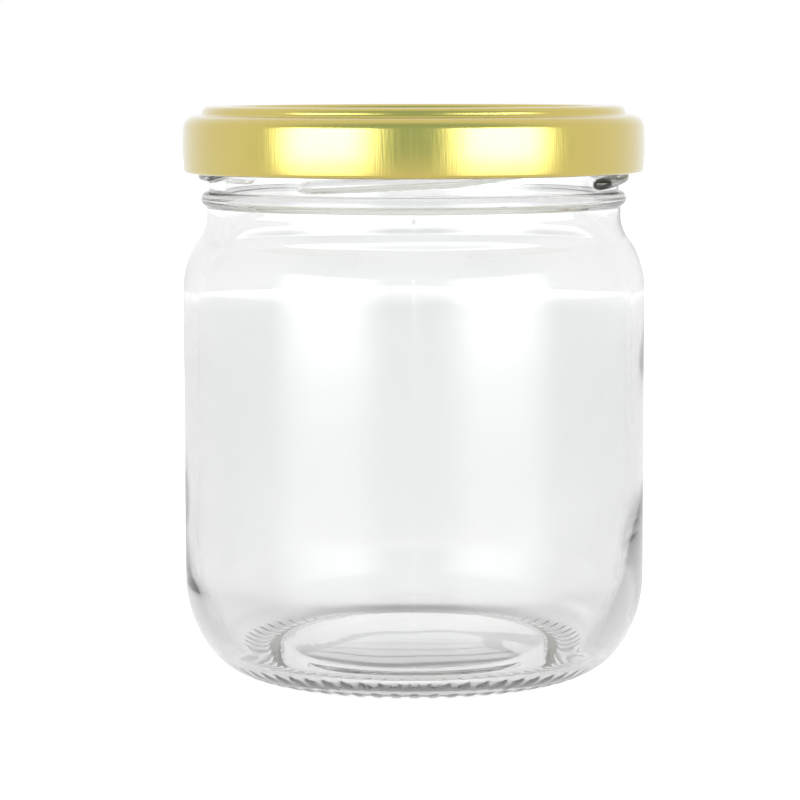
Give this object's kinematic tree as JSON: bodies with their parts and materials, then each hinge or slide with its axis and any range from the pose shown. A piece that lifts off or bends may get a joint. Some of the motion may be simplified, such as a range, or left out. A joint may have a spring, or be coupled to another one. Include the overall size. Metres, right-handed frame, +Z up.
{
  "type": "glass jar",
  "caption": "Empty round clear glass jar with a rounded heel and shoulder, a lug-thread neck and a gold-lacquered tinplate twist-off cap.",
  "frame": {"origin": "on the jar's axis, in the plane of the flats of the knurl bars on which the jar stands", "axes": "+Z up along the jar's axis, -Y towards the front, where one thread start rises to the right under the cap"},
  "size_m": [0.07, 0.07, 0.0861],
  "materials": {
    "clear_glass": "colourless soda-lime container glass, fire-polished, slightly uneven inside",
    "gold_lacquer": "satin-gloss gold lacquer over pressed tinplate, with faint upright draw marks",
    "sealing_compound": "smooth cream plastisol"
  },
  "bodies": {
    "root": {"jar": "clear_glass", "cap": "gold_lacquer", "seal_ring": "sealing_compound"}
  },
  "joints": []
}
